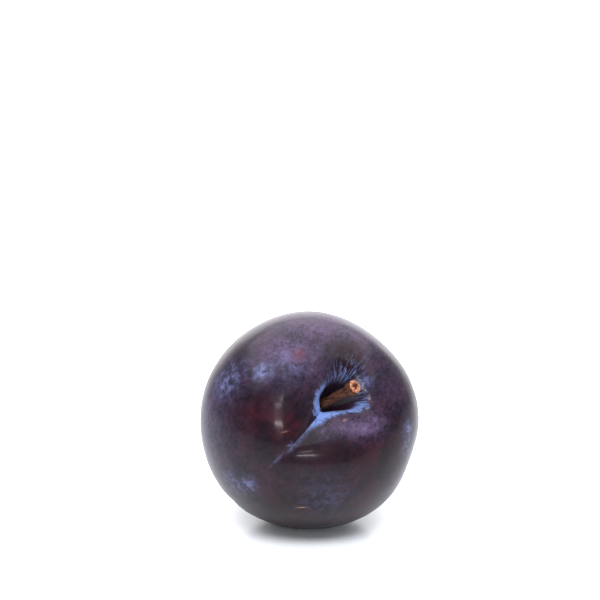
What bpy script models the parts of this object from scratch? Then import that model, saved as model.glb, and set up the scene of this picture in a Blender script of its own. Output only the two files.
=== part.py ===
"""A plum: the fruit, with its stalk cavity and suture, and the woody stem standing in the cavity.

The fruit is worked out in its own frame, with +Z through the mouth of the stalk cavity and +X towards
the suture. It is then turned to the way it lies and set down on its flat resting spot. In the frame
that it ends in, +Z is up, the stem leans towards -Y, and the origin is under the middle of the fruit.
All lengths are in metres.
"""

import math

import bmesh
import bpy
from mathutils import Matrix, Vector

MM = 0.001
STALK_AXIS = Vector((0.0, 0.0, 1.0))

# The ball that the fruit starts from, and how its grid crowds towards the stalk and the suture
BALL_RADIUS = 29.0 * MM
FRUIT_MERIDIANS = 64
FRUIT_PARALLELS = 42
SUTURE_CROWDING = 0.42
STALK_CROWDING = 0.55

# The flattened crown round the stalk, centred a little towards the suture
CROWN_DIP = 6.3 * MM
CROWN_SPREAD = math.radians(29.0)
CROWN_LEAN = math.radians(9.0)

# The pit that holds the stem, pressed in along the stem's own lean
PIT_DEPTH = 7.6 * MM
PIT_RADIUS = 3.8 * MM
PIT_STEEPNESS = 5.0
STEM_LEAN = math.radians(22.5)
STEM_TURN = math.radians(153.5)

# Where the pit's mouth reaches out or in: (azimuth from the suture, share of its radius, spread)
MOUTH_REACHES = (
    (math.radians(0.0), 0.15, math.radians(16.0)),
    (math.radians(50.0), -0.15, math.radians(25.0)),
    (math.radians(118.0), 0.60, math.radians(24.0)),
    (math.radians(180.0), 0.30, math.radians(40.0)),
    (math.radians(-85.0), -0.12, math.radians(35.0)),
)

# The suture: a valley down one meridian, deepest and widest beside the pit, with a crease along its floor
SUTURE_DEPTH = 3.4 * MM
SUTURE_WIDTH = 4.2 * MM
SUTURE_END_WIDTH = 1.8 * MM
SUTURE_CREASE = 0.5 * MM
SUTURE_START = math.radians(11.5)
SUTURE_FADE = math.radians(39.0)
SUTURE_TAIL_DEPTH = 0.25 * MM

# Swellings and flats of the sides: (angle from the stalk, azimuth from the suture, height, spread)
SWELLINGS = (
    (math.radians(69.0), math.radians(-175.0), -1.4 * MM, math.radians(32.0)),
    (math.radians(85.0), math.radians(-108.0), -0.6 * MM, math.radians(32.0)),
    (math.radians(112.0), math.radians(0.0), 0.8 * MM, math.radians(28.0)),
    (math.radians(89.0), math.radians(80.0), 0.6 * MM, math.radians(22.0)),
    (math.radians(77.0), math.radians(109.0), -0.6 * MM, math.radians(14.0)),
    (math.radians(180.0), math.radians(0.0), 0.5 * MM, math.radians(38.0)),
)

# How the fruit lies, and the spot it lies on
STALK_TILT = math.radians(60.6)
STALK_HEADING = math.radians(-69.6)
STALK_ROLL = math.radians(-50.7)
RESTING_SPOT_RADIUS = 5.0 * MM
RESTING_SPOT_EDGE = math.radians(8.0)

# The stem: a shank that swells to a broken knob, as (share of the length, share of the shank's radius)
STEM_LENGTH = 12.4 * MM
SHANK_RADIUS = 1.2 * MM
STEM_PROFILE = (
    (0.00, 1.10),
    (0.25, 1.00),
    (0.50, 0.95),
    (0.72, 1.00),
    (0.80, 1.25),
    (0.87, 1.50),
    (0.94, 1.55),
    (1.00, 1.45),
)
STEM_SIDE_STEPS = 4
STEM_CLEARANCE = 1.7 * MM


def tilted(lean, turn):
    """The direction that leans by an angle from the stalk axis, at an azimuth from the suture."""
    return Vector((math.sin(lean) * math.cos(turn), math.sin(lean) * math.sin(turn), math.cos(lean)))


def angle_between(first, second):
    return math.acos(max(-1.0, min(1.0, first.dot(second))))


def bell(offset, spread):
    """1 at no offset, falling smoothly to nothing past about two spreads."""
    return math.exp(-((offset / spread) ** 2))


def crown_dip(direction):
    return CROWN_DIP * bell(angle_between(direction, tilted(CROWN_LEAN, 0.0)), CROWN_SPREAD)


def mouth_radius(azimuth):
    """The radius of the pit's mouth, which isn't round."""
    share = 1.0
    for middle, reach, spread in MOUTH_REACHES:
        share += reach * bell(math.remainder(azimuth - middle, math.tau), spread)
    return PIT_RADIUS * share


def pit_depth(polar, azimuth):
    """Full depth on the pit's floor, half of it at the mouth, and almost none outside."""
    from_middle = polar * BALL_RADIUS / mouth_radius(azimuth)
    return PIT_DEPTH / (1.0 + from_middle**PIT_STEEPNESS)


def suture_depth(polar, azimuth):
    """The valley's depth: it opens beside the pit, fades down the side and runs on as a faint line."""
    if math.cos(azimuth) <= 0.0:
        return 0.0
    aside = BALL_RADIUS * math.sin(polar) * math.sin(azimuth)
    start = 1.0 - math.exp(-((polar / SUTURE_START) ** 3))
    fade = math.exp(-((polar / SUTURE_FADE) ** 4))
    along = SUTURE_TAIL_DEPTH + (SUTURE_DEPTH - SUTURE_TAIL_DEPTH) * fade
    width = SUTURE_END_WIDTH + (SUTURE_WIDTH - SUTURE_END_WIDTH) * fade
    across = math.exp((SUTURE_CREASE - math.hypot(aside, SUTURE_CREASE)) / width)
    return start * along * across * math.sqrt(math.cos(azimuth))


def surface_point(direction):
    """Where the skin lies in the given direction from the ball's centre."""
    polar = angle_between(direction, STALK_AXIS)
    azimuth = math.atan2(direction.y, direction.x)
    radius = BALL_RADIUS - crown_dip(direction) - suture_depth(polar, azimuth)
    for lean, turn, height, spread in SWELLINGS:
        radius += height * bell(angle_between(direction, tilted(lean, turn)), spread)
    return direction * radius - tilted(STEM_LEAN, STEM_TURN) * pit_depth(polar, azimuth)


def crowded(direction):
    """The direction moved towards the stalk and the suture, where the shape is finest."""
    polar = angle_between(direction, STALK_AXIS)
    azimuth = math.atan2(direction.y, direction.x)
    polar *= 1.0 - STALK_CROWDING * (1.0 - polar / math.pi)
    azimuth -= SUTURE_CROWDING * math.sin(azimuth)
    return tilted(polar, azimuth)


def lying_turn():
    """The turn from the fruit's own frame to the way it lies."""
    return (
        Matrix.Rotation(STALK_HEADING, 4, "Z")
        @ Matrix.Rotation(STALK_TILT, 4, "Y")
        @ Matrix.Rotation(STALK_ROLL, 4, "Z")
    )


def finish(name, colour, roughness):
    material = bpy.data.materials.new(name)
    material.use_nodes = True
    shader = material.node_tree.nodes["Principled BSDF"]
    shader.inputs["Base Color"].default_value = (*colour, 1.0)
    shader.inputs["Roughness"].default_value = roughness
    shader.inputs["Metallic"].default_value = 0.0
    return material


def turned_fruit():
    """The fruit's closed skin, turned to the way it lies, round the ball's centre."""
    skin = bmesh.new()
    bmesh.ops.create_uvsphere(
        skin, u_segments=FRUIT_MERIDIANS, v_segments=FRUIT_PARALLELS, radius=1.0
    )
    turn = lying_turn()
    for vertex in skin.verts:
        vertex.co = turn @ surface_point(crowded(vertex.co.normalized()))
    return skin


def setting_down(skin):
    """The move that puts the resting spot at height 0 and the middle of the outline on the origin."""
    low = [min(vertex.co[axis] for vertex in skin.verts) for axis in range(3)]
    high = [max(vertex.co[axis] for vertex in skin.verts) for axis in range(3)]
    sagitta = BALL_RADIUS - math.sqrt(BALL_RADIUS**2 - RESTING_SPOT_RADIUS**2)
    return Vector((-(low[0] + high[0]) / 2, -(low[1] + high[1]) / 2, -(low[2] + sagitta)))


def cut_resting_spot(skin):
    """Cuts off what is below height 0 and closes the cut with one flat face."""
    cut = bmesh.ops.bisect_plane(
        skin,
        geom=[*skin.verts, *skin.edges, *skin.faces],
        plane_co=(0.0, 0.0, 0.0),
        plane_no=(0.0, 0.0, -1.0),
        clear_outer=True,
    )
    rim = [item for item in cut["geom_cut"] if isinstance(item, bmesh.types.BMEdge)]
    bmesh.ops.contextual_create(skin, geom=rim)


def build_fruit(collection):
    """Builds the fruit and returns the move that set it down."""
    skin = turned_fruit()
    move = setting_down(skin)
    bmesh.ops.translate(skin, verts=skin.verts, vec=move)
    cut_resting_spot(skin)
    mesh = bpy.data.meshes.new("fruit")
    skin.to_mesh(mesh)
    skin.free()
    mesh.materials.append(finish("plum skin", (0.035, 0.012, 0.022), 0.35))
    mesh.shade_smooth()
    mesh.set_sharp_from_angle(angle=RESTING_SPOT_EDGE)
    collection.objects.link(bpy.data.objects.new("fruit", mesh))
    return move


def build_stem(collection, move):
    """The stem: a tube along its lean that swells at the end. It starts above the middle of the pit's
    floor, so that its rim clears the floor where that slopes up to it."""
    placing = Matrix.Translation(move) @ lying_turn()
    floor = surface_point(STALK_AXIS)
    lean = tilted(STEM_LEAN, STEM_TURN)
    curve = bpy.data.curves.new("stem", "CURVE")
    curve.dimensions = "3D"
    curve.bevel_depth = SHANK_RADIUS
    curve.bevel_resolution = STEM_SIDE_STEPS
    curve.use_fill_caps = True
    line = curve.splines.new("POLY")
    line.points.add(len(STEM_PROFILE) - 1)
    for point, (share, thickness) in zip(line.points, STEM_PROFILE):
        point.co = (*(placing @ (floor + lean * (STEM_CLEARANCE + share * STEM_LENGTH))), 1.0)
        point.radius = thickness
    curve.materials.append(finish("stem bark", (0.16, 0.075, 0.04), 0.8))
    collection.objects.link(bpy.data.objects.new("stem", curve))


def main():
    for obj in list(bpy.data.objects):
        bpy.data.objects.remove(obj, do_unlink=True)
    plum = bpy.data.collections.new("plum")
    bpy.context.scene.collection.children.link(plum)
    move = build_fruit(plum)
    build_stem(plum, move)


if __name__ == "__main__":
    main()
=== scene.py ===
"""The looks of a ripe plum and of its woody stem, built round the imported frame.

The fruit's skin is worked out in its own frame, with +Z through the mouth of the stalk cavity and +X
towards the suture, then turned to the way it lies and set down on its resting spot. A Geometry Nodes
tree writes that rule on a fine closed mesh and keeps, for the finish, where each point lies round the
pit and beside the suture. The stem is a ridged twig that swells to a broken knob. All lengths are in
metres and all angles in degrees, unless a name says otherwise.
"""

from __future__ import annotations

import logging
import math
from dataclasses import dataclass
from enum import Enum

import bmesh
import bpy
from mathutils import Matrix, Vector, noise


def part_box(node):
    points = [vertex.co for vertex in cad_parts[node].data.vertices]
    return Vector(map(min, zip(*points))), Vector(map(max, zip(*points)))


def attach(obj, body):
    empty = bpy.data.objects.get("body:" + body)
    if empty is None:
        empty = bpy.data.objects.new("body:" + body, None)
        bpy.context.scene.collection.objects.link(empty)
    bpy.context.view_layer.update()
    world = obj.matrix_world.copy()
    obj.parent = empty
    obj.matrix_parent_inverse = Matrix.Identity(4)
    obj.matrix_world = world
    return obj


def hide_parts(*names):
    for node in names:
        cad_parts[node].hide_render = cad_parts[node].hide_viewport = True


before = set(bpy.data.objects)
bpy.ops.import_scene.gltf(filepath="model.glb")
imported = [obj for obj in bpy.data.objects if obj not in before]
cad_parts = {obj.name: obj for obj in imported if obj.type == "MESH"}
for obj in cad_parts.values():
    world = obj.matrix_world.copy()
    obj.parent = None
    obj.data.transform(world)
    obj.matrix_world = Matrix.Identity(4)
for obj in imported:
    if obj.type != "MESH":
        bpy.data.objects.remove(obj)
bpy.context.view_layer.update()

MM = 0.001
LOG = logging.getLogger("plum")

BEARING = "bearing"
MOUTH_SHARE = "mouth_share"
SUTURE_SIDE = "suture_side"
GRAIN = "grain"
END_SHARE = "end_share"


class Reach(Enum):
    """What a lamp lights."""

    EVERYTHING = "everything"
    TABLE_ONLY = "table only"


def tilted(lean: float, turn: float) -> Vector:
    """Makes a direction in the fruit's own frame.

    Args:
        lean: the angle from the stalk axis, in degrees.
        turn: the azimuth from the suture, in degrees.

    Returns:
        The unit direction.
    """
    polar, azimuth = math.radians(lean), math.radians(turn)
    return Vector(
        (math.sin(polar) * math.cos(azimuth), math.sin(polar) * math.sin(azimuth), math.cos(polar))
    )


class Term:
    """A number carried by a node socket, which takes part in sums as a plain number does."""

    def __init__(self, writer: TreeWriter, socket: bpy.types.NodeSocket) -> None:
        """Keeps the socket and the writer that adds the next node."""
        self.writer = writer
        self.socket = socket

    def __add__(self, other: Term | float) -> Term:
        """Adds a number."""
        return self.writer.maths("ADD", self, other)

    def __radd__(self, other: float) -> Term:
        """Adds this to a plain number."""
        return self.writer.maths("ADD", other, self)

    def __sub__(self, other: Term | float) -> Term:
        """Takes a number away."""
        return self.writer.maths("SUBTRACT", self, other)

    def __rsub__(self, other: float) -> Term:
        """Takes this away from a plain number."""
        return self.writer.maths("SUBTRACT", other, self)

    def __mul__(self, other: Term | float) -> Term:
        """Multiplies by a number."""
        return self.writer.maths("MULTIPLY", self, other)

    def __rmul__(self, other: float) -> Term:
        """Multiplies a plain number by this."""
        return self.writer.maths("MULTIPLY", other, self)

    def __truediv__(self, other: Term | float) -> Term:
        """Divides by a number."""
        return self.writer.maths("DIVIDE", self, other)

    def __rtruediv__(self, other: float) -> Term:
        """Divides a plain number by this."""
        return self.writer.maths("DIVIDE", other, self)

    def __pow__(self, exponent: Term | float) -> Term:
        """Raises a number that isn't negative to a power."""
        return self.writer.maths("POWER", self, exponent)

    def __neg__(self) -> Term:
        """Turns the sign."""
        return self.writer.maths("MULTIPLY", self, -1.0)


class VectorTerm:
    """A vector carried by a node socket."""

    def __init__(self, writer: TreeWriter, socket: bpy.types.NodeSocket) -> None:
        """Keeps the socket and the writer that adds the next node."""
        self.writer = writer
        self.socket = socket

    def __add__(self, other: VectorTerm | Vector) -> VectorTerm:
        """Adds a vector."""
        return self.writer.vector_maths("ADD", self, other)

    def __sub__(self, other: VectorTerm | Vector) -> VectorTerm:
        """Takes a vector away."""
        return self.writer.vector_maths("SUBTRACT", self, other)

    def __mul__(self, size: Term | float) -> VectorTerm:
        """Scales the vector."""
        node = self.writer.node("ShaderNodeVectorMath", operation="SCALE")
        self.writer.feed(node.inputs["Vector"], self)
        self.writer.feed(node.inputs["Scale"], size)
        return VectorTerm(self.writer, node.outputs["Vector"])

    def dot(self, other: VectorTerm | Vector) -> Term:
        """Returns the dot product with a vector."""
        node = self.writer.node("ShaderNodeVectorMath", operation="DOT_PRODUCT")
        self.writer.feed(node.inputs[0], self)
        self.writer.feed(node.inputs[1], other)
        return Term(self.writer, node.outputs["Value"])

    def parts(self) -> tuple[Term, Term, Term]:
        """Returns the X, Y and Z parts."""
        node = self.writer.node("ShaderNodeSeparateXYZ")
        self.writer.feed(node.inputs[0], self)
        return tuple(Term(self.writer, output) for output in node.outputs)


class TreeWriter:
    """Writes a node tree as formulas: each call adds a node and hands back its output."""

    def __init__(self, tree: bpy.types.NodeTree) -> None:
        """Keeps the tree that the nodes go in."""
        self.tree = tree

    def node(self, kind: str, **settings: object) -> bpy.types.Node:
        """Adds a node.

        Args:
            kind: the node's type name.
            settings: its settings, by name.

        Returns:
            The new node.
        """
        made = self.tree.nodes.new(kind)
        for name, value in settings.items():
            setattr(made, name, value)
        return made

    def feed(self, socket: bpy.types.NodeSocket, value: object) -> None:
        """Gives an input its value.

        Args:
            socket: the input.
            value: a term or a socket to link, or a plain value to set.
        """
        if isinstance(value, (Term, VectorTerm)):
            value = value.socket
        if isinstance(value, bpy.types.NodeSocket):
            self.tree.links.new(value, socket)
        elif isinstance(value, Vector):
            socket.default_value = tuple(value)
        else:
            socket.default_value = value

    def maths(self, operation: str, *values: Term | float) -> Term:
        """Adds a Math node on one, two or three numbers and returns its result."""
        made = self.node("ShaderNodeMath", operation=operation)
        for socket, value in zip(made.inputs, values):
            self.feed(socket, value)
        return Term(self, made.outputs[0])

    def vector_maths(self, operation: str, *values: VectorTerm | Vector) -> VectorTerm:
        """Adds a Vector Math node and returns its vector."""
        made = self.node("ShaderNodeVectorMath", operation=operation)
        for socket, value in zip(made.inputs, values):
            self.feed(socket, value)
        return VectorTerm(self, made.outputs[0])

    def vector(self, x: Term | float, y: Term | float, z: Term | float) -> VectorTerm:
        """Joins three numbers into a vector."""
        made = self.node("ShaderNodeCombineXYZ")
        for socket, value in zip(made.inputs, (x, y, z)):
            self.feed(socket, value)
        return VectorTerm(self, made.outputs[0])

    def bell(self, offset: Term, spread: Term | float) -> Term:
        """Returns 1 at no offset, falling smoothly to nothing past about two spreads."""
        share = offset / spread
        return self.maths("EXPONENT", -(share * share))

    def angle_to(self, direction: VectorTerm, lean: float, turn: float) -> Term:
        """Measures how far a direction lies from a fixed one.

        Args:
            direction: the direction, of length 1.
            lean: the fixed one's angle from the stalk axis, in degrees.
            turn: its azimuth from the suture, in degrees.

        Returns:
            The angle between them, in radians.
        """
        cosine = direction.dot(tilted(lean, turn))
        return self.maths("ARCCOSINE", self.maths("MAXIMUM", self.maths("MINIMUM", cosine, 1.0), -1.0))

    def polar_and_azimuth(self, direction: VectorTerm) -> tuple[Term, Term]:
        """Returns a direction's angle from the stalk axis and its azimuth, in radians."""
        x, y, z = direction.parts()
        inside = self.maths("MAXIMUM", self.maths("MINIMUM", z, 1.0), -1.0)
        return self.maths("ARCCOSINE", inside), self.maths("ARCTAN2", y, x)

    def direction(self, polar: Term, azimuth: Term) -> VectorTerm:
        """Returns the direction at an angle from the stalk axis and an azimuth, in radians."""
        sine = self.maths("SINE", polar)
        return self.vector(
            sine * self.maths("COSINE", azimuth),
            sine * self.maths("SINE", azimuth),
            self.maths("COSINE", polar),
        )

    def ramp(self, value: Term, low: float, high: float, start: float = 0.0, end: float = 1.0) -> Term:
        """Eases from one level to another.

        Args:
            value: what is measured.
            low: where the easing starts.
            high: where it ends.
            start: the level up to low.
            end: the level from high on.

        Returns:
            The eased level.
        """
        made = self.node("ShaderNodeMapRange", interpolation_type="SMOOTHSTEP")
        for socket, given in zip(made.inputs, (value, low, high, start, end)):
            self.feed(socket, given)
        return Term(self, made.outputs[0])

    def noise(
        self, place: VectorTerm, scale: float, detail: float = 3.0, roughness: float = 0.5, twist: float = 0.0
    ) -> Term:
        """Returns a cloudy value of about 0.3 to 0.7.

        Args:
            place: where the cloud is read.
            scale: how many clouds fit in a length of 1.
            detail: how many finer layers it has.
            roughness: how strong the finer layers are.
            twist: how far it is bent by itself.

        Returns:
            The cloud's value there.
        """
        made = self.node("ShaderNodeTexNoise")
        self.feed(made.inputs["Vector"], place)
        for name, value in (
            ("Scale", scale),
            ("Detail", detail),
            ("Roughness", roughness),
            ("Distortion", twist),
        ):
            self.feed(made.inputs[name], value)
        return Term(self, made.outputs[0])

    def specks(self, place: VectorTerm, scale: float, size: float) -> Term:
        """Returns 1 inside small round specks and 0 between them.

        Args:
            place: where they are read.
            scale: how many fit in a length of 1.
            size: the radius of a speck, as a share of their spacing.

        Returns:
            The mask.
        """
        made = self.node("ShaderNodeTexVoronoi", feature="F1")
        self.feed(made.inputs["Vector"], place)
        self.feed(made.inputs["Scale"], scale)
        return self.ramp(Term(self, made.outputs["Distance"]), size * 0.5, size, 1.0, 0.0)

    def blend(self, first: object, second: object, share: Term | float) -> bpy.types.NodeSocket:
        """Mixes two colours.

        Args:
            first: the colour at share 0, as a socket or four numbers.
            second: the colour at share 1.
            share: how much of the second shows.

        Returns:
            The mixed colour's socket.
        """
        made = self.node("ShaderNodeMix", data_type="RGBA", clamp_factor=True)
        self.feed(made.inputs[0], share)
        self.feed(made.inputs[6], first)
        self.feed(made.inputs[7], second)
        return made.outputs[2]

    def stored(self, name: str) -> VectorTerm:
        """Reads a vector kept on the mesh."""
        return VectorTerm(self, self.node("ShaderNodeAttribute", attribute_name=name).outputs["Vector"])

    def stored_number(self, name: str) -> Term:
        """Reads a number kept on the mesh."""
        return Term(self, self.node("ShaderNodeAttribute", attribute_name=name).outputs["Fac"])


Colour = tuple[float, float, float, float]


@dataclass(frozen=True)
class Ease:
    """A smooth change of level between two places. The places are degrees where an angle is eased."""

    low: float
    high: float
    start: float = 0.0
    end: float = 1.0

    def at(self, writer: TreeWriter, value: Term) -> Term:
        """Returns the level at a value."""
        return writer.ramp(value, self.low, self.high, self.start, self.end)

    def at_angle(self, writer: TreeWriter, angle: Term) -> Term:
        """Returns the level at an angle in radians."""
        return writer.ramp(angle, math.radians(self.low), math.radians(self.high), self.start, self.end)


@dataclass(frozen=True)
class Cloud:
    """A cloudy pattern of about 0.3 to 0.7: how fine it is, its finer layers, and how far it is bent."""

    scale: float
    detail: float = 3.0
    roughness: float = 0.5
    twist: float = 0.0

    def at(self, writer: TreeWriter, place: VectorTerm) -> Term:
        """Returns the cloud's value at a place."""
        return writer.noise(place, self.scale, self.detail, self.roughness, self.twist)


@dataclass(frozen=True)
class Spot:
    """A soft round place on the skin, in the fruit's own frame."""

    lean: float
    turn: float
    spread: float
    strength: float = 1.0

    def mask(self, writer: TreeWriter, bearing: VectorTerm) -> Term:
        """Returns the spot's strength at a bearing, fading outwards."""
        away = writer.angle_to(bearing, self.lean, self.turn)
        return writer.bell(away, math.radians(self.spread)) * self.strength


def sum_of_spots(writer: TreeWriter, bearing: VectorTerm, spots: tuple[Spot, ...]) -> Term:
    """Adds the masks of several spots.

    Args:
        writer: the tree's writer.
        bearing: where on the fruit the masks are read.
        spots: the spots.

    Returns:
        The sum of their masks.
    """
    total = spots[0].mask(writer, bearing)
    for spot in spots[1:]:
        total = total + spot.mask(writer, bearing)
    return total


@dataclass(frozen=True)
class Mark:
    """A short narrow mark on the skin, such as a healed scratch or a crease: where it lies and runs."""

    lean: float
    turn: float
    heading: float
    length: float
    width: float
    strength: float = 1.0
    own_side: Ease = Ease(0.0, 0.5)

    def mask(self, writer: TreeWriter, bearing: VectorTerm, wander: Term) -> Term:
        """Returns the mark's strength at a bearing, frayed by a wandering noise.

        Args:
            writer: the tree's writer.
            bearing: where on the fruit it is read.
            wander: how far the line strays to the side, in radians.

        Returns:
            The mask.
        """
        middle = tilted(self.lean, self.turn)
        down = tilted(self.lean + 90.0, self.turn)
        round_about = down.cross(middle)
        angle = math.radians(self.heading)
        along = bearing.dot(down * math.cos(angle) + round_about * math.sin(angle))
        across = bearing.dot(round_about * math.cos(angle) - down * math.sin(angle)) + wander
        near = self.own_side.at(writer, bearing.dot(middle))
        reach = writer.bell(along, math.radians(self.length)) * writer.bell(across, math.radians(self.width))
        return reach * near * self.strength


def sum_of_marks(writer: TreeWriter, bearing: VectorTerm, marks: tuple[Mark, ...], wander: Term) -> Term:
    """Adds the masks of several marks.

    Args:
        writer: the tree's writer.
        bearing: where on the fruit the masks are read.
        marks: the marks.
        wander: how far their lines stray to the side, in radians.

    Returns:
        The sum of their masks.
    """
    total = marks[0].mask(writer, bearing, wander)
    for mark in marks[1:]:
        total = total + mark.mask(writer, bearing, wander)
    return total


@dataclass(frozen=True)
class ThickBloom:
    """The thick bloom that is left where hands don't reach: the pit's lips, rays and the suture.

    Distances from the pit's middle are shares of its mouth's radius, and distances from the suture's
    crease are lengths. Directions are azimuths from the suture, in degrees.
    """

    edge_cloud: Cloud = Cloud(16.0, 4.0, 0.6)
    edge_wander: float = 1.1
    patch_cloud: Cloud = Cloud(34.0, 5.0, 0.7)
    patch_levels: Ease = Ease(0.32, 0.60, 0.45, 1.0)
    lip_inner: Ease = Ease(1.05, 1.30)
    lip_outer: Ease = Ease(1.55, 1.95, 1.0, 0.0)
    lip_wide_at: float = -15.0
    lip_wide_spread: float = 40.0
    lip_widening: float = 0.50
    lip_thinning: Ease = Ease(40.0, 115.0, 0.0, 0.27)
    lip_handled: Ease = Ease(-45.0, 0.0, 0.52, 0.95)
    lip_front: float = 12.0
    lip_front_edge: Ease = Ease(-0.45, -0.1)
    lip_behind: float = 0.55
    streaks_round: float = 17.0
    streaks_along: float = 9.0
    streak_cloud: Cloud = Cloud(1.0, 3.0, 0.6)
    streak_parts: Ease = Ease(0.46, 0.62)
    ray_middle: float = -158.0
    ray_spread: float = 46.0
    ray_start: Ease = Ease(1.2, 1.5)
    ray_end: Ease = Ease(1.6, 3.4, 1.0, 0.0)
    ray_strength: Ease = Ease(0.5, 1.0, 0.10, 0.30)
    suture_inner: Ease = Ease(-0.35 * MM, 0.15 * MM)
    suture_outer: Ease = Ease(1.7 * MM, 3.6 * MM, 1.0, 0.0)
    suture_narrowing: Ease = Ease(16.0, 30.0, 0.0, 1.9 * MM)
    suture_start: Ease = Ease(11.0, 15.0)
    suture_end: Ease = Ease(22.0, 35.0, 1.0, 0.0)
    suture_faint: Ease = Ease(34.0, 50.0, 0.22, 0.0)
    suture_facing: Ease = Ease(0.2, 0.6)

    def share(self, writer: TreeWriter, bearing: VectorTerm) -> Term:
        """Works out how much thick bloom covers the skin.

        Args:
            writer: the tree's writer.
            bearing: the direction from the fruit's middle, in its own frame.

        Returns:
            The share of thick bloom, 0 to 1.
        """
        polar, azimuth = writer.polar_and_azimuth(bearing)
        mouth = writer.stored_number(MOUTH_SHARE)
        wander = (self.edge_cloud.at(writer, bearing) - 0.5) * self.edge_wander
        patchy = self.patch_levels.at(writer, self.patch_cloud.at(writer, bearing))
        streaks = self.streaks(writer, polar, azimuth)
        lip = self.lip(writer, azimuth, mouth, wander, streaks)
        rays = self.rays(writer, azimuth, mouth, wander, streaks) * self.ray_strength.at(writer, patchy)
        total = lip + rays + self.valley(writer, polar, azimuth, wander)
        return writer.maths("MINIMUM", total * patchy, 1.0)

    def streaks(self, writer: TreeWriter, polar: Term, azimuth: Term) -> Term:
        """Returns thin streaks that run out from the pit's middle."""
        place = writer.vector(
            writer.maths("COSINE", azimuth) * self.streaks_round,
            writer.maths("SINE", azimuth) * self.streaks_round,
            polar * self.streaks_along,
        )
        return self.streak_parts.at(writer, self.streak_cloud.at(writer, place))

    def lip(self, writer: TreeWriter, azimuth: Term, mouth: Term, wander: Term, streaks: Term) -> Term:
        """Works out the band round the pit's mouth, solid in front and streaky behind.

        Args:
            writer: the tree's writer.
            azimuth: the azimuth from the suture, in radians.
            mouth: the distance from the pit's middle.
            wander: how far the band's edge strays.
            streaks: the streaks that run out from the pit's middle.

        Returns:
            The band's share.
        """
        from_widest = azimuth - math.radians(self.lip_wide_at)
        near_suture = writer.bell(from_widest, math.radians(self.lip_wide_spread))
        thinning = self.lip_thinning.at_angle(writer, azimuth)
        outer = mouth + wander - near_suture * self.lip_widening + thinning
        band = self.lip_inner.at(writer, mouth) * self.lip_outer.at(writer, outer)
        ahead = writer.maths("COSINE", azimuth - math.radians(self.lip_front))
        front = self.lip_front_edge.at(writer, ahead)
        handled = self.lip_handled.at_angle(writer, azimuth)
        return band * handled * (front + (1.0 - front) * streaks * self.lip_behind)

    def rays(self, writer: TreeWriter, azimuth: Term, mouth: Term, wander: Term, streaks: Term) -> Term:
        """Works out the longer rays on the pit's far side.

        Args:
            writer: the tree's writer.
            azimuth: the azimuth from the suture, in radians.
            mouth: the distance from the pit's middle.
            wander: how far the rays' ends stray.
            streaks: the streaks that run out from the pit's middle.

        Returns:
            The rays' share.
        """
        offset = writer.maths("WRAP", azimuth - math.radians(self.ray_middle), math.pi, -math.pi)
        near = writer.bell(offset, math.radians(self.ray_spread))
        return streaks * self.ray_start.at(writer, mouth) * self.ray_end.at(writer, mouth + wander) * near

    def valley(self, writer: TreeWriter, polar: Term, azimuth: Term, wander: Term) -> Term:
        """Works out the strip along one side of the suture, which narrows and fades away from the pit.

        Args:
            writer: the tree's writer.
            polar: the angle from the stalk axis, in radians.
            azimuth: the azimuth from the suture, in radians.
            wander: how far the strip's edge strays.

        Returns:
            The strip's share.
        """
        side = writer.stored_number(SUTURE_SIDE)
        narrowing = self.suture_narrowing.at_angle(writer, polar)
        outer = self.suture_outer.at(writer, side + narrowing + wander * MM)
        strip = self.suture_inner.at(writer, side) * outer
        solid = self.suture_start.at_angle(writer, polar) * self.suture_end.at_angle(writer, polar)
        faint = self.suture_faint.at_angle(writer, polar)
        facing = self.suture_facing.at(writer, writer.maths("COSINE", azimuth))
        return strip * writer.maths("MAXIMUM", solid, faint) * facing


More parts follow.
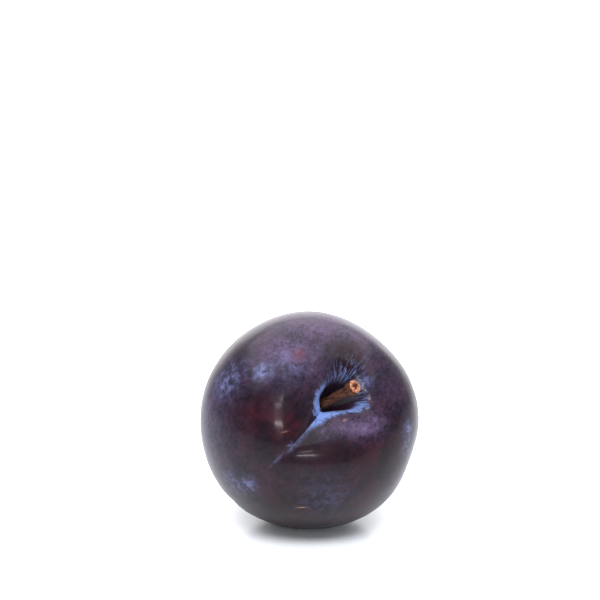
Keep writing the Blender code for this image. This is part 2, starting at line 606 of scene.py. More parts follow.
@dataclass(frozen=True)
class SkinFinish:
    """Dark plum skin: a glossy wine-black ground under a bluish wax bloom that handling has rubbed thin."""

    ground_dark: Colour = (0.0060, 0.0022, 0.0046, 1.0)
    ground_warm: Colour = (0.017, 0.0028, 0.0050, 1.0)
    red_patch: Colour = (0.080, 0.005, 0.011, 1.0)
    bloom_thin: Colour = (0.21, 0.15, 0.30, 1.0)
    bloom_blue: Colour = (0.19, 0.21, 0.44, 1.0)
    bloom_thick: Colour = (0.22, 0.33, 0.72, 1.0)
    speck: Colour = (0.30, 0.24, 0.30, 1.0)
    scar: Colour = (0.34, 0.20, 0.15, 1.0)
    gloss_roughness: float = 0.32
    bloom_roughness: float = 0.55
    wax_ior: float = 1.40
    wax_shine: float = 0.15
    coat_weight: float = 0.16
    coat_roughness: float = 0.11
    red_spots: tuple[Spot, ...] = (
        Spot(36.0, -17.0, 7.0, 0.45),
        Spot(48.0, -34.0, 9.0, 0.25),
        Spot(32.0, -94.0, 3.5, 1.4),
        Spot(36.0, 85.0, 8.0, 0.25),
        Spot(80.0, 150.0, 14.0, 0.28),
        Spot(110.0, -120.0, 16.0, 0.28),
    )
    # Spots of thin wax film; some of them are painted light, marked below.
    film_and_painted_light_spots: tuple[Spot, ...] = (
        # Painted reflection over real bloom: lighter film over the top, where the overhead lamp reflects.
        Spot(52.0, -140.0, 38.0, 0.34),
        Spot(36.0, -88.0, 14.0, 0.22),
        Spot(23.0, -150.0, 12.0, -0.24),
        # Painted reflection over real bloom: lighter film on the lower cheek beside the pit, where the
        # overhead lamp reflects.
        Spot(18.0, 45.0, 6.0, 0.30),
        Spot(22.0, 78.0, 7.0, 0.36),
        Spot(27.0, 98.0, 6.0, 0.26),
        # Painted sheen, partly dust: lighter film along the left and right rims, where the bright room
        # glances off the skin.
        Spot(92.0, -45.0, 24.0, 0.26),
        Spot(85.0, 110.0, 24.0, 0.26),
        Spot(32.0, -94.0, 3.5, -0.22),
        # Painted reflection: lighter film where the lower cheek's reflected band begins.
        Spot(24.0, 20.0, 5.0, 0.24),
        Spot(36.0, 140.0, 16.0, 0.06),
        Spot(47.0, -75.0, 12.0, 0.06),
        Spot(66.0, -4.0, 16.0, 0.03),
        Spot(56.0, 40.0, 16.0, 0.03),
        # Painted shade: less film at the bottom beside the table, where shade falls.
        Spot(82.0, 38.0, 20.0, -0.10),
        Spot(120.0, 20.0, 34.0, 0.04),
    )
    blue_spots: tuple[Spot, ...] = (
        Spot(68.0, -60.0, 9.0, 0.72),
        Spot(45.0, -66.0, 5.0, 0.85),
        Spot(17.0, 160.0, 3.0, 0.9),
        Spot(57.0, -66.0, 7.0, 0.22),
        Spot(33.0, -82.0, 8.0, 0.35),
        Spot(47.5, 113.0, 4.0, 0.85),
        Spot(53.0, 104.0, 4.0, 0.6),
        Spot(75.0, -2.0, 5.0, 0.45),
        Spot(84.0, -8.0, 7.0, 0.40),
        Spot(60.0, 38.0, 14.0, 0.12),
        Spot(96.0, 150.0, 18.0, 0.30),
        Spot(120.0, -120.0, 22.0, 0.28),
        Spot(100.0, 60.0, 16.0, 0.22),
    )
    scratches: tuple[Mark, ...] = (
        Mark(68.6, 28.0, 60.0, 2.2, 0.35, 0.8),
        Mark(38.6, -13.4, 20.0, 1.5, 0.45, 0.35),
        Mark(15.5, 58.0, 70.0, 1.3, 0.6, 0.7),
        Mark(88.0, -150.0, 20.0, 3.0, 0.5, 0.6),
        Mark(104.0, 100.0, 80.0, 2.0, 0.4, 0.6),
    )

    creases: tuple[Mark, ...] = (
        Mark(40.5, -0.5, 48.0, 2.2, 0.6, 0.9),
        Mark(41.0, -0.5, -40.0, 2.0, 0.6, 0.8),
        Mark(49.0, -1.0, 0.0, 6.0, 0.7, 0.3),
    )
    mottle: Cloud = Cloud(4.0, 5.0, 0.6, 0.4)
    middling: Cloud = Cloud(13.0, 4.0, 0.6, 0.3)
    fine: Cloud = Cloud(36.0, 6.0, 0.75)
    warm_parts: Ease = Ease(0.40, 0.62)
    red_parts: Ease = Ease(0.32, 0.56)
    film_everywhere: float = 0.014
    film_shares: tuple[float, float, float] = (0.25, 0.30, 0.45)
    wiped_parts: Ease = Ease(0.36, 0.64, 0.15, 1.75)
    blue_cloud: Cloud = Cloud(15.0, 7.0, 0.75, 0.2)
    blue_parts: Ease = Ease(0.42, 0.62, 0.12, 1.0)
    blue_limit: float = 0.8
    speck_spacing: float = 34.0
    speck_radius: float = 0.10
    speck_groups: Cloud = Cloud(7.0)
    speck_parts: Ease = Ease(0.47, 0.6)
    speck_strength: float = 0.30
    mark_cloud: Cloud = Cloud(60.0, 2.0)
    mark_wander: float = 0.012
    haze_dulling: float = 0.6
    coat_hidden_at: float = 0.6
    bump_strength: float = 0.2
    bump_depth: float = 0.04 * MM
    thick: ThickBloom = ThickBloom()

    def material(self) -> bpy.types.Material:
        """Builds the skin's material."""
        made = bpy.data.materials.new("plum_skin")
        made.use_nodes = True
        writer = TreeWriter(made.node_tree)
        shader = made.node_tree.nodes["Principled BSDF"]
        bearing = writer.stored(BEARING)
        mottle = self.mottle.at(writer, bearing)
        fine = self.fine.at(writer, bearing)
        thick = self.thick.share(writer, bearing)
        thin_film_and_painted_light = self.thin_film_and_painted_light(writer, bearing, mottle, fine)
        wander = (self.mark_cloud.at(writer, bearing) - 0.5) * self.mark_wander
        scars = sum_of_marks(writer, bearing, self.scratches, wander)
        creases = sum_of_marks(writer, bearing, self.creases, wander)
        broken = self.blue_parts.at(writer, self.blue_cloud.at(writer, bearing))
        blue = sum_of_spots(writer, bearing, self.blue_spots) * broken
        blue = writer.maths("MINIMUM", blue, self.blue_limit)
        # The thin film's share carries painted reflections, painted sheen and painted shade from its spots.
        colour = writer.blend(self.ground(writer, bearing, mottle), self.bloom_thin, thin_film_and_painted_light)
        colour = writer.blend(colour, self.bloom_blue, blue)
        colour = writer.blend(colour, self.bloom_thick, thick)
        colour = writer.blend(colour, self.bloom_blue, creases * broken)
        colour = writer.blend(colour, self.speck, self.specks(writer, bearing))
        writer.feed(shader.inputs["Base Color"], writer.blend(colour, self.scar, scars))
        dull = thick + thin_film_and_painted_light * self.haze_dulling
        rough = writer.ramp(dull, 0.0, 1.0, self.gloss_roughness, self.bloom_roughness)
        writer.feed(shader.inputs["Roughness"], rough)
        coat = writer.ramp(thick + thin_film_and_painted_light, 0.0, self.coat_hidden_at, self.coat_weight, 0.0)
        writer.feed(shader.inputs["Coat Weight"], coat)
        shader.inputs["Coat Roughness"].default_value = self.coat_roughness
        shader.inputs["IOR"].default_value = self.wax_ior
        shader.inputs["Specular IOR Level"].default_value = self.wax_shine
        bump = writer.node("ShaderNodeBump")
        bump.inputs["Strength"].default_value = self.bump_strength
        bump.inputs["Distance"].default_value = self.bump_depth
        writer.feed(bump.inputs["Height"], fine + scars)
        writer.feed(shader.inputs["Normal"], bump.outputs[0])
        return made

    def ground(self, writer: TreeWriter, bearing: VectorTerm, mottle: Term) -> bpy.types.NodeSocket:
        """Colours the bare skin: wine-black, warmer in places, with a few red patches.

        Args:
            writer: the tree's writer.
            bearing: the direction from the fruit's middle, in its own frame.
            mottle: the broad cloudiness.

        Returns:
            The colour's socket.
        """
        colour = writer.blend(self.ground_dark, self.ground_warm, self.warm_parts.at(writer, mottle))
        patchy = sum_of_spots(writer, bearing, self.red_spots) * self.red_parts.at(writer, mottle)
        return writer.blend(colour, self.red_patch, patchy)

    def specks(self, writer: TreeWriter, bearing: VectorTerm) -> Term:
        """Returns how strongly the small pale specks show, which lie in groups."""
        groups = self.speck_parts.at(writer, self.speck_groups.at(writer, bearing))
        return writer.specks(bearing, self.speck_spacing, self.speck_radius) * groups * self.speck_strength

    def thin_film_and_painted_light(self, writer: TreeWriter, bearing: VectorTerm, mottle: Term, fine: Term) -> Term:
        """Works out the thin film of wax that lightens the skin, and the painted light that some of its spots
        add.

        Args:
            writer: the tree's writer.
            bearing: the direction from the fruit's middle, in its own frame.
            mottle: the broad cloudiness.
            fine: the fine cloudiness.

        Returns:
            The share of thin bloom, with a painted reflection of the overhead lamp, painted rim sheen and
            painted shade at the bottom.
        """
        # Some spots paint light: the overhead lamp's reflection, sheen at the rims and shade at the bottom.
        film_with_painted_light = sum_of_spots(writer, bearing, self.film_and_painted_light_spots) + self.film_everywhere
        broad_share, middling_share, fine_share = self.film_shares
        middling = self.middling.at(writer, bearing)
        cloudy = mottle * broad_share + middling * middling_share + fine * fine_share
        return writer.maths("MAXIMUM", film_with_painted_light, 0.0) * self.wiped_parts.at(writer, cloudy)


@dataclass
class Fruit:
    """The plum itself, one closed skin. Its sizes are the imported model's, kept in the fruit's own frame."""

    ball_radius: float = 29.0 * MM
    meridians: int = 400
    parallels: int = 236
    suture_crowding: float = 0.42
    stalk_crowding: float = 0.55
    crown_dip: float = 6.3 * MM
    crown_spread: float = 29.0
    crown_lean: float = 9.0
    pit_depth: float = 7.6 * MM
    pit_radius: float = 3.8 * MM
    pit_steepness: float = 5.0
    stem_lean: float = 22.5
    stem_turn: float = 153.5
    mouth_reaches: tuple[tuple[float, float, float], ...] = (
        (0.0, 0.15, 16.0),
        (50.0, -0.15, 25.0),
        (118.0, 0.60, 24.0),
        (180.0, 0.30, 40.0),
        (-85.0, -0.12, 35.0),
    )
    suture_depth: float = 3.4 * MM
    suture_width: float = 4.2 * MM
    suture_end_width: float = 1.8 * MM
    suture_crease: float = 0.5 * MM
    suture_start: float = 11.5
    suture_fade: float = 39.0
    suture_tail_depth: float = 0.25 * MM
    swellings: tuple[tuple[float, float, float, float], ...] = (
        (69.0, -175.0, -1.4 * MM, 32.0),
        (85.0, -108.0, -0.6 * MM, 32.0),
        (112.0, 0.0, 0.8 * MM, 28.0),
        (89.0, 80.0, 0.6 * MM, 22.0),
        (77.0, 109.0, -0.6 * MM, 14.0),
        (180.0, 0.0, 0.5 * MM, 38.0),
    )
    stalk_tilt: float = 60.6
    stalk_heading: float = -69.6
    stalk_roll: float = -50.7
    resting_spot_radius: float = 5.0 * MM
    waviness: float = 0.10 * MM
    wave_cloud: Cloud = Cloud(3.2, 2.0)
    furrow_depth: float = 0.10 * MM
    furrow_cloud: Cloud = Cloud(1.0, 2.0)
    furrows_round: float = 7.0
    furrows_along: float = 2.0
    furrow_ring: float = 16.0
    furrow_spread: float = 10.0
    finish: SkinFinish = SkinFinish()

    def lying_turn(self) -> Matrix:
        """Returns the turn from the fruit's own frame to the way it lies."""
        return (
            Matrix.Rotation(math.radians(self.stalk_heading), 4, "Z")
            @ Matrix.Rotation(math.radians(self.stalk_tilt), 4, "Y")
            @ Matrix.Rotation(math.radians(self.stalk_roll), 4, "Z")
        )

    def stem_direction(self) -> Vector:
        """Returns the way the stem points, as the fruit lies."""
        return (self.lying_turn() @ tilted(self.stem_lean, self.stem_turn)).normalized()

    def pit_floor(self, skin: bpy.types.Object) -> Vector:
        """Returns the middle of the pit's floor, which is the grid's first pole."""
        return skin.data.vertices[0].co.copy()

    def rest_sagitta(self) -> float:
        """Returns how much of the ball the resting spot cuts off."""
        return self.ball_radius - math.sqrt(self.ball_radius**2 - self.resting_spot_radius**2)

    def crowded(self, writer: TreeWriter, direction: VectorTerm, inputs: dict[str, Term]) -> VectorTerm:
        """Moves a direction towards the stalk and the suture, where the shape is finest.

        Args:
            writer: the tree's writer.
            direction: a grid point's direction.
            inputs: the tree's inputs, by name.

        Returns:
            The direction that the point takes.
        """
        polar, azimuth = writer.polar_and_azimuth(direction)
        squeezed = polar * (1.0 - inputs["Stalk crowding"] * (1.0 - polar / math.pi))
        swung = azimuth - inputs["Suture crowding"] * writer.maths("SINE", azimuth)
        return writer.direction(squeezed, swung)

    def from_middle(self, writer: TreeWriter, polar: Term, azimuth: Term, inputs: dict[str, Term]) -> Term:
        """Works out how far a point is from the pit's middle: 1 at the pit's mouth, which isn't round."""
        share: Term | float = 1.0
        for middle, reach, spread in self.mouth_reaches:
            offset = writer.maths("WRAP", azimuth - math.radians(middle), math.pi, -math.pi)
            share = share + writer.bell(offset, math.radians(spread)) * reach
        return polar * inputs["Ball radius"] / (inputs["Pit radius"] * share)

    def suture(
        self, writer: TreeWriter, polar: Term, azimuth: Term, inputs: dict[str, Term]
    ) -> tuple[Term, Term]:
        """Works out the suture's valley, which opens beside the pit and runs on as a faint line.

        Args:
            writer: the tree's writer.
            polar: the angle from the stalk axis, in radians.
            azimuth: the azimuth from the suture, in radians.
            inputs: the tree's inputs, by name.

        Returns:
            The valley's depth, and the distance from its crease, which is negative on the left.
        """
        facing = writer.maths("MAXIMUM", writer.maths("COSINE", azimuth), 0.0)
        aside = writer.maths("SINE", polar) * writer.maths("SINE", azimuth) * inputs["Ball radius"]
        opening = (polar / math.radians(self.suture_start)) ** 3.0
        start = 1.0 - writer.maths("EXPONENT", -opening)
        fade = writer.maths("EXPONENT", -((polar / math.radians(self.suture_fade)) ** 4.0))
        tail = self.suture_tail_depth
        along = (inputs["Suture depth"] - tail) * fade + tail
        crease = inputs["Suture crease"]
        away = writer.maths("SQRT", aside * aside + crease * crease)
        end = self.suture_end_width
        across = writer.maths("EXPONENT", (crease - away) / ((inputs["Suture width"] - end) * fade + end))
        return start * along * across * writer.maths("SQRT", facing), aside

    def relief(self, writer: TreeWriter, direction: VectorTerm, polar: Term, azimuth: Term) -> Term:
        """Works out the skin's fine relief: slow waves all over and furrows that run out of the pit."""
        waves = (self.wave_cloud.at(writer, direction) - 0.5) * (2.0 * self.waviness)
        spokes = writer.vector(
            writer.maths("COSINE", azimuth) * self.furrows_round,
            writer.maths("SINE", azimuth) * self.furrows_round,
            polar * self.furrows_along,
        )
        near = writer.bell(polar - math.radians(self.furrow_ring), math.radians(self.furrow_spread))
        furrows = (self.furrow_cloud.at(writer, spokes) - 0.5) * near * (2.0 * self.furrow_depth)
        return waves + furrows

    def named_inputs(self) -> dict[str, float]:
        """Returns the sizes that the tree takes, by the names of its inputs."""
        return {
            "Ball radius": self.ball_radius,
            "Stalk crowding": self.stalk_crowding,
            "Suture crowding": self.suture_crowding,
            "Crown dip": self.crown_dip,
            "Crown spread": math.radians(self.crown_spread),
            "Pit depth": self.pit_depth,
            "Pit radius": self.pit_radius,
            "Pit steepness": self.pit_steepness,
            "Suture depth": self.suture_depth,
            "Suture width": self.suture_width,
            "Suture crease": self.suture_crease,
        }

    def tree(self, material: bpy.types.Material) -> bpy.types.NodeTree:
        """Writes the skin's rule as a Geometry Nodes tree.

        Args:
            material: the finish that the tree gives the skin.

        Returns:
            The tree.
        """
        tree = bpy.data.node_groups.new("plum_skin_rule", "GeometryNodeTree")
        tree.interface.new_socket("Geometry", in_out="OUTPUT", socket_type="NodeSocketGeometry")
        for name, value in self.named_inputs().items():
            tree.interface.new_socket(
                name, in_out="INPUT", socket_type="NodeSocketFloat"
            ).default_value = value
        writer = TreeWriter(tree)
        start = writer.node("NodeGroupInput")
        inputs = {name: Term(writer, start.outputs[name]) for name in self.named_inputs()}
        ball = writer.node("GeometryNodeMeshUVSphere")
        for name, value in (("Segments", self.meridians), ("Rings", self.parallels), ("Radius", 1.0)):
            writer.feed(ball.inputs[name], value)
        grid = writer.vector_maths(
            "NORMALIZE", VectorTerm(writer, writer.node("GeometryNodeInputPosition").outputs[0])
        )
        direction = self.crowded(writer, grid, inputs)
        polar, azimuth = writer.polar_and_azimuth(direction)
        from_middle = self.from_middle(writer, polar, azimuth, inputs)
        pit = 1.0 / (from_middle ** inputs["Pit steepness"] + 1.0)
        depth, aside = self.suture(writer, polar, azimuth, inputs)
        crown = writer.bell(writer.angle_to(direction, self.crown_lean, 0.0), inputs["Crown spread"])
        radius = inputs["Ball radius"] - inputs["Crown dip"] * crown - depth
        for lean, turn, height, spread in self.swellings:
            radius = radius + Spot(lean, turn, spread, height).mask(writer, direction)
        radius = radius + self.relief(writer, direction, polar, azimuth)
        stem_way = writer.vector(*tilted(self.stem_lean, self.stem_turn))
        place = direction * radius - stem_way * (inputs["Pit depth"] * pit)
        kept = ball.outputs["Mesh"]
        for name, kind, value in (
            (BEARING, "FLOAT_VECTOR", direction),
            (MOUTH_SHARE, "FLOAT", from_middle),
            (SUTURE_SIDE, "FLOAT", aside),
        ):
            store = writer.node("GeometryNodeStoreNamedAttribute", data_type=kind, domain="POINT")
            writer.feed(store.inputs["Geometry"], kept)
            writer.feed(store.inputs["Name"], name)
            writer.feed(store.inputs["Value"], value)
            kept = store.outputs[0]
        shaped = writer.node("GeometryNodeSetPosition")
        writer.feed(shaped.inputs["Geometry"], kept)
        writer.feed(shaped.inputs["Position"], place)
        turned = writer.node("GeometryNodeTransform")
        writer.feed(turned.inputs["Geometry"], shaped.outputs[0])
        turned.inputs["Rotation"].default_value = self.lying_turn().to_euler()
        standing = self.set_down(writer, turned.outputs[0])
        smooth = writer.node("GeometryNodeSetShadeSmooth")
        writer.feed(smooth.inputs["Geometry"], standing)
        real = writer.node("GeometryNodeRealizeInstances")
        writer.feed(real.inputs["Geometry"], smooth.outputs[0])
        dressed = writer.node("GeometryNodeSetMaterial")
        writer.feed(dressed.inputs["Geometry"], real.outputs[0])
        dressed.inputs["Material"].default_value = material
        writer.feed(writer.node("NodeGroupOutput").inputs[0], dressed.outputs[0])
        return tree

    def set_down(self, writer: TreeWriter, skin: bpy.types.NodeSocket) -> bpy.types.NodeSocket:
        """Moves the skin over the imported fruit's middle and flattens what would sink below the ground.

        Args:
            writer: the tree's writer.
            skin: the turned skin.

        Returns:
            The skin, standing on its resting spot.
        """
        low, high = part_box("fruit")
        outline = writer.node("GeometryNodeBoundBox")
        writer.feed(outline.inputs["Geometry"], skin)
        least = VectorTerm(writer, outline.outputs["Min"])
        most = VectorTerm(writer, outline.outputs["Max"])
        middle = (least + most) * 0.5
        middle_x, middle_y, _ = middle.parts()
        _, _, bottom = least.parts()
        x, y, z = VectorTerm(writer, writer.node("GeometryNodeInputPosition").outputs[0]).parts()
        place = writer.vector(
            x - middle_x + (low.x + high.x) / 2,
            y - middle_y + (low.y + high.y) / 2,
            writer.maths("MAXIMUM", z - bottom - self.rest_sagitta() + low.z, low.z),
        )
        moved = writer.node("GeometryNodeSetPosition")
        writer.feed(moved.inputs["Geometry"], skin)
        writer.feed(moved.inputs["Position"], place)
        return moved.outputs[0]

    def build(self) -> bpy.types.Object:
        """Makes the skin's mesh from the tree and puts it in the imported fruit's place."""
        carrier = bpy.data.objects.new("fruit_rule", bpy.data.meshes.new("fruit_rule"))
        bpy.context.scene.collection.objects.link(carrier)
        material = self.finish.material()
        modifier = carrier.modifiers.new("skin", "NODES")
        tree = self.tree(material)
        modifier.node_group = tree
        for item in tree.interface.items_tree:
            if item.in_out == "INPUT":
                modifier[item.identifier] = self.named_inputs()[item.name]
        graph = bpy.context.evaluated_depsgraph_get()
        mesh = bpy.data.meshes.new_from_object(carrier.evaluated_get(graph))
        carrier.modifiers.remove(modifier)
        bpy.data.objects.remove(carrier)
        mesh.name = "plum_fruit"
        fruit = bpy.data.objects.new("plum_fruit", mesh)
        bpy.context.scene.collection.objects.link(fruit)
        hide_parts("fruit")
        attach(fruit, "root")
        LOG.info("plum_fruit: %d faces", len(mesh.polygons))
        return fruit


@dataclass(frozen=True)
class StemFinish:
    """Dry stem bark with long fibres, and the paler broken wood of the knob's face, in millimetres."""

    bark_dark: Colour = (0.022, 0.007, 0.004, 1.0)
    bark_light: Colour = (0.125, 0.046, 0.022, 1.0)
    wood: Colour = (0.36, 0.12, 0.055, 1.0)
    wood_pale: Colour = (0.82, 0.44, 0.29, 1.0)
    pith: Colour = (0.085, 0.018, 0.011, 1.0)
    roughness: float = 0.72
    shine: float = 0.2
    fibres_round: float = 2.6
    fibres_along: float = 0.35
    fibre_cloud: Cloud = Cloud(1.0, 4.0, 0.6)
    fibre_parts: Ease = Ease(0.40, 0.66)
    wood_cloud: Cloud = Cloud(2.2, 4.0, 0.7)
    wood_parts: Ease = Ease(0.45, 0.62)
    pith_edge: Ease = Ease(0.55, 1.30, 1.0, 0.0)
    pith_wander: float = 2.4
    bump_strength: float = 0.5
    bump_depth: float = 0.1 * MM

    def material(self) -> bpy.types.Material:
        """Builds the stem's material."""
        made = bpy.data.materials.new("stem_bark")
        made.use_nodes = True
        writer = TreeWriter(made.node_tree)
        shader = made.node_tree.nodes["Principled BSDF"]
        grain = writer.stored(GRAIN)
        end = writer.stored_number(END_SHARE)
        x, y, z = grain.parts()
        stretched = writer.vector(x * self.fibres_round, y * self.fibres_round, z * self.fibres_along)
        fibres = self.fibre_cloud.at(writer, stretched)
        bark = writer.blend(self.bark_dark, self.bark_light, self.fibre_parts.at(writer, fibres))
        from_middle = writer.maths("SQRT", x * x + y * y)
        grainy = self.wood_cloud.at(writer, grain)
        wood = writer.blend(self.wood, self.wood_pale, self.wood_parts.at(writer, grainy))
        dark = self.pith_edge.at(writer, from_middle + (grainy - 0.5) * self.pith_wander)
        face = writer.blend(wood, self.pith, dark)
        writer.feed(shader.inputs["Base Color"], writer.blend(bark, face, end))
        shader.inputs["Roughness"].default_value = self.roughness
        shader.inputs["Specular IOR Level"].default_value = self.shine
        bump = writer.node("ShaderNodeBump")
        bump.inputs["Strength"].default_value = self.bump_strength
        bump.inputs["Distance"].default_value = self.bump_depth
        writer.feed(bump.inputs["Height"], fibres)
        writer.feed(shader.inputs["Normal"], bump.outputs[0])
        return made


@dataclass
class Stem:
    """The woody stem: a ridged shank that swells to a knob with a broken, pitted face."""

    length: float = 12.4 * MM
    shank_radius: float = 1.2 * MM
    clearance: float = 1.7 * MM
    profile: tuple[tuple[float, float], ...] = (
        (0.00, 1.10),
        (0.25, 1.00),
        (0.50, 0.95),
        (0.72, 1.00),
        (0.80, 1.25),
        (0.87, 1.50),
        (0.94, 1.55),
        (1.00, 1.45),
    )
    rings: int = 90
    sides: int = 72
    face_rings: int = 18
    ridge_height: float = 0.10
    ridges_round: float = 2.4
    ridges_along: float = 1.8
    fine_ridges_round: float = 6.0
    fine_ridges_along: float = 5.0
    fine_ridge_share: float = 0.5
    face_crown: float = 0.35 * MM
    pith_depth: float = 0.55 * MM
    pith_reach: float = 0.42
    break_scale: float = 3.0
    break_slice: float = 7.0
    break_height: float = 0.28 * MM
    fine_break_scale: float = 2.7
    fine_break_height: float = 0.14 * MM
    finish: StemFinish = StemFinish()

    def thickness(self, share: float) -> float:
        """Returns the radius at a share of the length, eased between the profile's places."""
        for (start, first), (end, second) in zip(self.profile, self.profile[1:]):
            if share <= end:
                step = (share - start) / (end - start)
                eased = step * step * (3.0 - 2.0 * step)
                return self.shank_radius * (first + (second - first) * eased)
        return self.shank_radius * self.profile[-1][1]

    def ridge(self, angle: float, share: float) -> float:
        """Returns the radius's share at an angle round the stem: fibres that run its length."""
        x, y = math.cos(angle), math.sin(angle)
        wide, fine = self.ridges_round, self.fine_ridges_round
        ridges = noise.noise(Vector((wide * x, wide * y, self.ridges_along * share)))
        fine_ridges = noise.noise(Vector((fine * x, fine * y, self.fine_ridges_along * share)))
        return 1.0 + self.ridge_height * (ridges + self.fine_ridge_share * fine_ridges)

    def face_height(self, angle: float, share: float) -> float:
        """Returns how far the broken face stands out, from its rim at share 1 to the pith at 0."""
        out = self.break_scale * share
        spot = Vector((out * math.cos(angle), out * math.sin(angle), self.break_slice))
        ragged = self.break_height * noise.noise(spot)
        ragged += self.fine_break_height * noise.noise(spot * self.fine_break_scale)
        bowl = self.pith_depth * math.exp(-((share / self.pith_reach) ** 2))
        rounded = self.face_crown * (1.0 - share**4)
        return rounded - bowl + ragged * (1.0 - share**6)

    def mesh(self, root: Vector, lean: Vector) -> bpy.types.Mesh:
        """Builds the stem's closed mesh.

        Args:
            root: the middle of the pit's floor.
            lean: the way the stem points.

        Returns:
            The mesh, with its grain and its end kept for the finish.
        """
        across = lean.orthogonal().normalized()
        upward = lean.cross(across)
        shape = bmesh.new()
        grain = shape.verts.layers.float_vector.new(GRAIN)
        end = shape.verts.layers.float.new(END_SHARE)

        def point(angle: float, radius: float, along: float, on_end: float) -> bmesh.types.BMVert:
            """Adds one vertex at an angle, a radius and a distance along the stem."""
            out = across * math.cos(angle) + upward * math.sin(angle)
            vertex = shape.verts.new(root + lean * (self.clearance + along) + out * radius)
            vertex[grain] = Vector((math.cos(angle) * radius, math.sin(angle) * radius, along)) / MM
            vertex[end] = on_end
            return vertex

        turns = [math.tau * side / self.sides for side in range(self.sides)]
        loops = []
        for ring in range(self.rings + 1):
            share = ring / self.rings
            loops.append(
                [
                    point(a, self.thickness(share) * self.ridge(a, share), share * self.length, 0.0)
                    for a in turns
                ]
            )
        rim = self.thickness(1.0)
        for ring in range(1, self.face_rings):
            share = 1.0 - ring / self.face_rings
            loops.append(
                [
                    point(
                        a,
                        rim * share * (1.0 + (self.ridge(a, 1.0) - 1.0) * share),
                        self.length + self.face_height(a, share),
                        1.0,
                    )
                    for a in turns
                ]
            )
        for lower, upper in zip(loops, loops[1:]):
            for side in range(self.sides):
                following = (side + 1) % self.sides
                shape.faces.new((lower[side], lower[following], upper[following], upper[side]))
        tip = point(0.0, 0.0, self.length + self.face_height(0.0, 0.0), 1.0)
        foot = point(0.0, 0.0, 0.0, 0.0)
        for side in range(self.sides):
            following = (side + 1) % self.sides
            shape.faces.new((loops[-1][side], loops[-1][following], tip))
            shape.faces.new((loops[0][following], loops[0][side], foot))
        bmesh.ops.recalc_face_normals(shape, faces=shape.faces)
        mesh = bpy.data.meshes.new("plum_stem")
        shape.to_mesh(mesh)
        shape.free()
        mesh.shade_smooth()
        return mesh

    def build(self, root: Vector, lean: Vector) -> bpy.types.Object:
        """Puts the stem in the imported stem's place.

        Args:
            root: the middle of the pit's floor.
            lean: the way the stem points.

        Returns:
            The stem.
        """
        mesh = self.mesh(root, lean)
        mesh.materials.append(self.finish.material())
        stem = bpy.data.objects.new("plum_stem", mesh)
        bpy.context.scene.collection.objects.link(stem)
        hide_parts("stem")
        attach(stem, "root")
        LOG.info("plum_stem: %d faces", len(mesh.polygons))
        return stem


@dataclass(frozen=True)
class Lamp:
    """A soft rectangular lamp that faces a point."""

    name: str
    place: tuple[float, float, float]
    aim: tuple[float, float, float]
    width: float
    depth: float
    radiance: float
    reach: Reach = Reach.EVERYTHING

    def build(self, table: bpy.types.Collection) -> None:
        """Lights the lamp.

        Args:
            table: the collection that holds the table, for a lamp that lights nothing else.
        """
        light = bpy.data.lights.new(self.name, "AREA")
        light.shape = "RECTANGLE"
        light.size = self.width
        light.size_y = self.depth
        light.energy = self.radiance * math.pi * self.width * self.depth
        lamp = bpy.data.objects.new(self.name, light)
        lamp.location = self.place
        lamp.rotation_euler = (Vector(self.aim) - lamp.location).to_track_quat("-Z", "Y").to_euler()
        bpy.context.scene.collection.objects.link(lamp)
        if self.reach is Reach.TABLE_ONLY:
            lamp.light_linking.receiver_collection = table


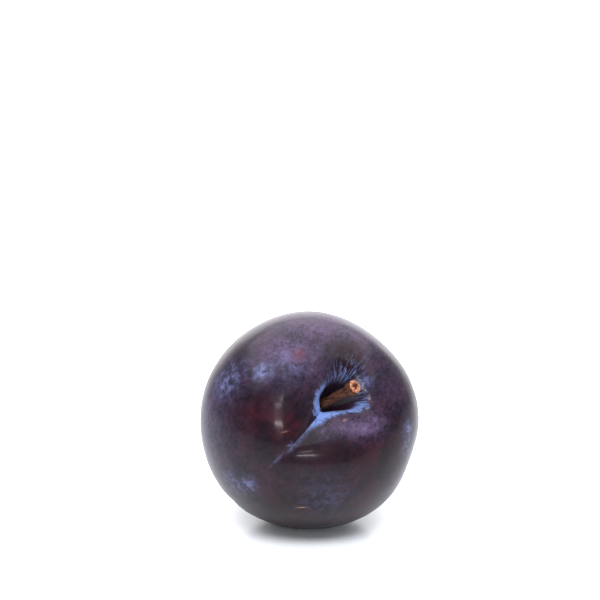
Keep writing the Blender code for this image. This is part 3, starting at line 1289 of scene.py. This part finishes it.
@dataclass
class Studio:
    """A glossy white table in a white room that is dim in front, with a wide soft lamp overhead.

    The camera's pitch, and where the fruit lies from the camera's axis, are in degrees.
    """

    table_size: float = 6.0
    focal_ratio: float = 2.5
    sensor: float = 36.0
    pitch: float = 11.86
    distance: float = 0.400
    fruit_right: float = 0.3629
    fruit_below: float = 4.479
    room_back: float = 2.8
    room_front: float = 0.30
    room_edges: Ease = Ease(0.70, 0.96)
    table_white: Colour = (0.80, 0.83, 0.88, 1.0)
    table_roughness: float = 0.22
    table_shine: float = 0.3
    lamps: tuple[Lamp, ...] = (
        Lamp("table_fill", (0.0, -0.45, 0.65), (0.0, 0.0, 0.0), 0.6, 0.3, 11.0, Reach.TABLE_ONLY),
        Lamp("overhead", (0.0, 0.15, 0.75), (0.0, 0.15, 0.0), 1.6, 1.47, 2.5),
        Lamp("front_low", (0.05, -0.60, 0.25), (0.0, 0.0, 0.03), 0.22, 0.036, 34.0),
        Lamp("front_high", (0.05, -0.52, 0.34), (0.0, 0.0, 0.03), 0.16, 0.022, 18.0),
    )

    def camera(self, middle: Vector) -> None:
        """Places the camera, which looks slightly down and over the fruit.

        Args:
            middle: the fruit's middle, which lies a little right of the camera's axis and below it.
        """
        pitch = math.radians(self.pitch)
        ahead = Vector((0.0, math.cos(pitch), -math.sin(pitch)))
        upward = Vector((0.0, math.sin(pitch), math.cos(pitch)))
        right = Vector((math.tan(math.radians(self.fruit_right)), 0.0, 0.0))
        aim = ahead + right - upward * math.tan(math.radians(self.fruit_below))
        data = bpy.data.cameras.new("camera")
        data.sensor_width = self.sensor
        data.lens = self.sensor * self.focal_ratio
        camera = bpy.data.objects.new("camera", data)
        camera.location = middle - aim.normalized() * self.distance
        camera.rotation_euler = (math.pi / 2 - pitch, 0.0, 0.0)
        bpy.context.scene.collection.objects.link(camera)
        bpy.context.scene.camera = camera

    def table(self) -> bpy.types.Collection:
        """Lays the glossy white table top and returns the collection that holds it."""
        shape = bmesh.new()
        bmesh.ops.create_grid(shape, x_segments=1, y_segments=1, size=self.table_size / 2)
        mesh = bpy.data.meshes.new("table_top")
        shape.to_mesh(mesh)
        shape.free()
        material = bpy.data.materials.new("table_gloss")
        material.use_nodes = True
        shader = material.node_tree.nodes["Principled BSDF"]
        shader.inputs["Base Color"].default_value = self.table_white
        shader.inputs["Roughness"].default_value = self.table_roughness
        shader.inputs["Specular IOR Level"].default_value = self.table_shine
        mesh.materials.append(material)
        table = bpy.data.objects.new("table_top", mesh)
        tables = bpy.data.collections.new("tables")
        bpy.context.scene.collection.children.link(tables)
        tables.objects.link(table)
        return tables

    def room(self) -> None:
        """Makes the room's light: white behind and above, dimmer in front."""
        world = bpy.data.worlds.new("white_room")
        world.use_nodes = True
        writer = TreeWriter(world.node_tree)
        backdrop = world.node_tree.nodes["Background"]
        way = VectorTerm(writer, writer.node("ShaderNodeTexCoord").outputs["Generated"])
        _, y, _ = way.parts()
        edges = self.room_edges
        level = writer.ramp(y, edges.low, edges.high, self.room_front, self.room_back)
        seen = writer.node("ShaderNodeLightPath").outputs["Is Camera Ray"]
        backdrop.inputs["Color"].default_value = (1.0, 1.0, 1.0, 1.0)
        writer.feed(backdrop.inputs["Strength"], writer.maths("MAXIMUM", level, Term(writer, seen)))
        bpy.context.scene.world = world

    def build(self) -> None:
        """Sets up the camera, the table, the room and the lamps."""
        low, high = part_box("fruit")
        middle = Vector((0.0, 0.0, (low.z + high.z) / 2))
        self.camera(middle)
        table = self.table()
        self.room()
        for lamp in self.lamps:
            lamp.build(table)
        bpy.context.scene.view_settings.view_transform = "Standard"


def main() -> None:
    """Builds the studio, then the fruit and its stem."""
    logging.basicConfig(level=logging.INFO, format="%(name)s: %(message)s")
    Studio().build()
    fruit = Fruit()
    skin = fruit.build()
    Stem().build(fruit.pit_floor(skin), fruit.stem_direction())


if __name__ == "__main__":
    main()
